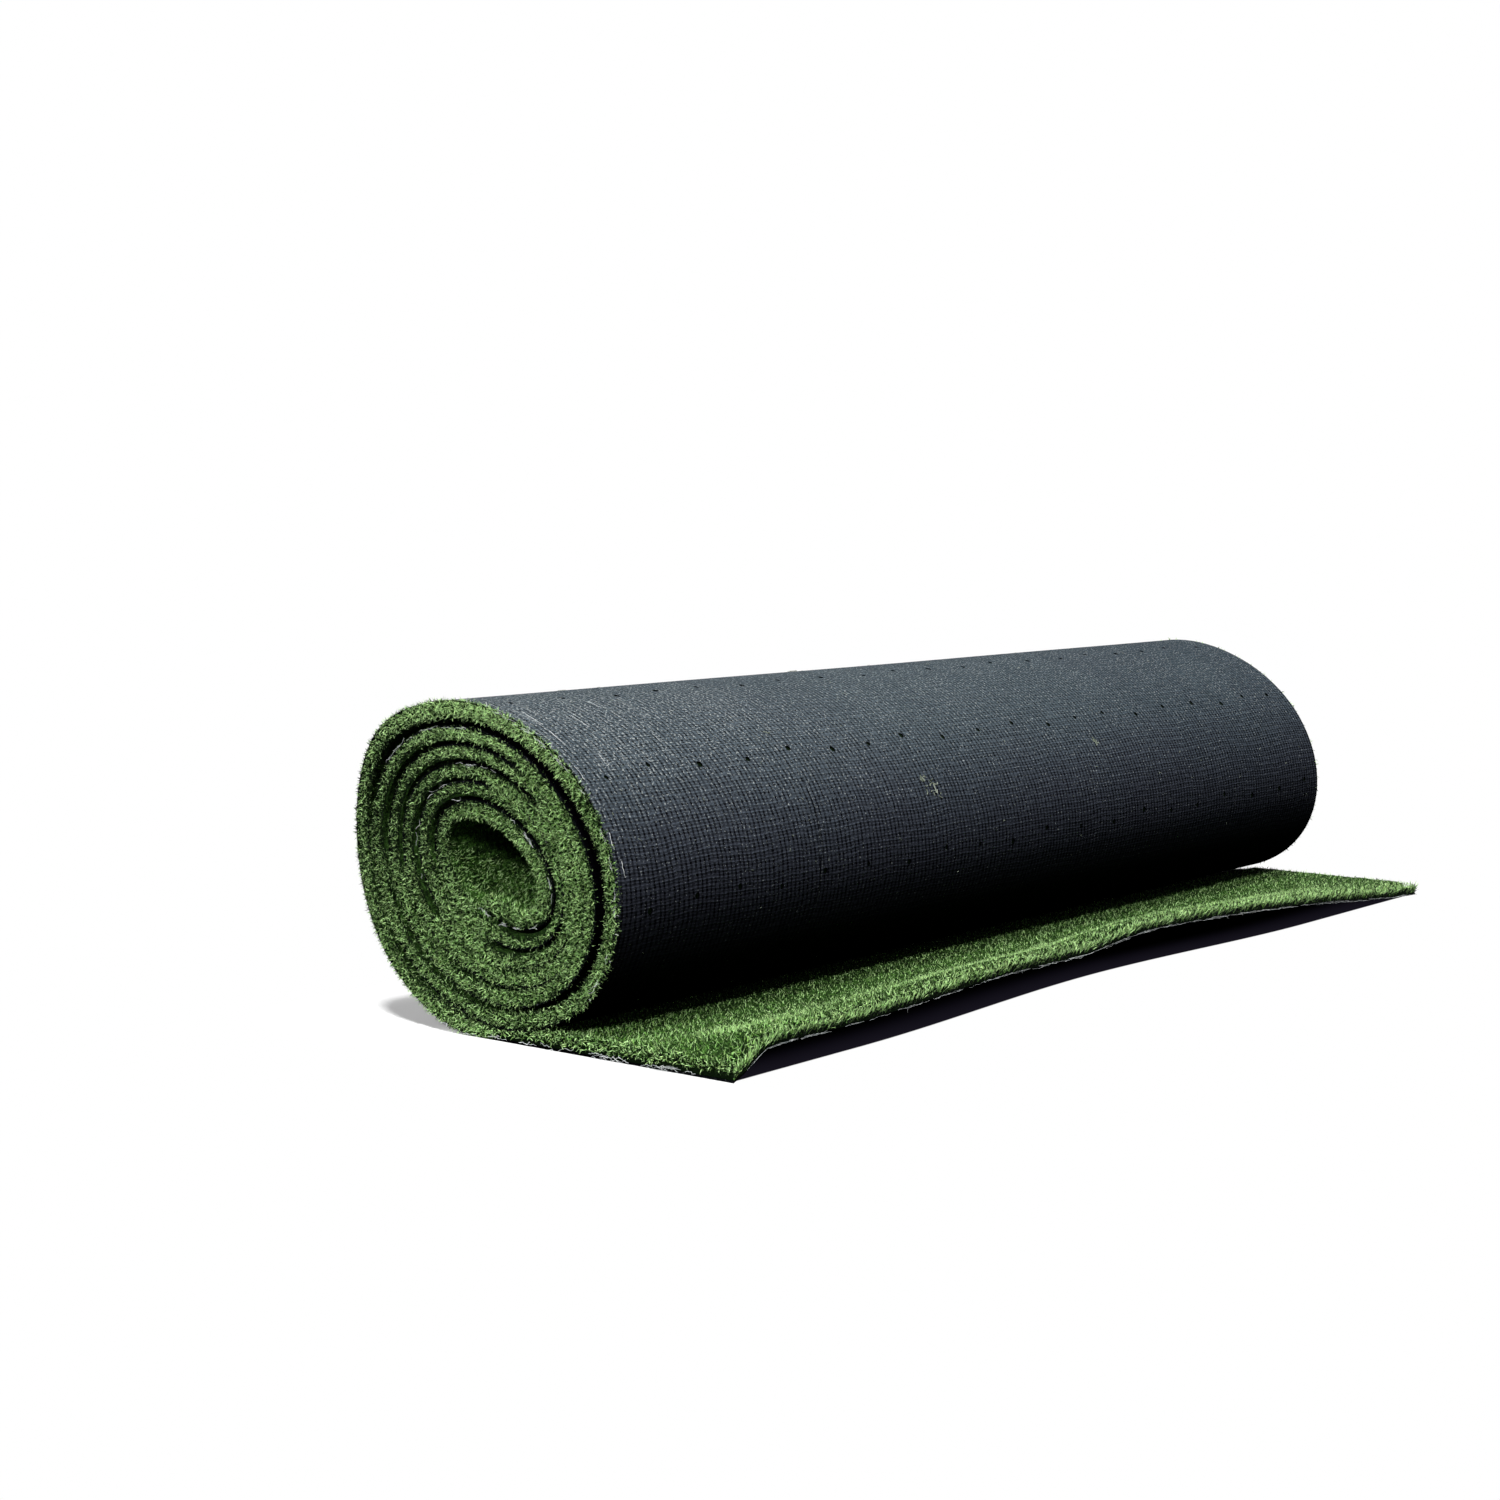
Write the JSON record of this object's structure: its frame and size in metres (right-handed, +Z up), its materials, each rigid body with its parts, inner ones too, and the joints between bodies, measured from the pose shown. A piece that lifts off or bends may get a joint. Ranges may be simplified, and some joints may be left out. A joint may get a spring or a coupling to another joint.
{
  "type": "roll of artificial turf",
  "caption": "Artificial turf wound into a loose roll, green pile inwards on a black perforated backing, with its outer end left flat on the ground.",
  "frame": {"origin": "on the ground under the middle of the whole roll, its flat end included", "axes": "+Z up, Y along the roll's axis, +X the way the flat end runs out from under the coil"},
  "size_m": [0.6866, 2, 0.4592],
  "materials": {
    "backing": "black woven backing with a dull rubbery coat, its tuft rows showing as ridges",
    "pile": "dense short curled green fibres, matt, with lighter tips"
  },
  "bodies": {
    "root": {"backing": "backing", "pile": "pile"}
  },
  "joints": []
}
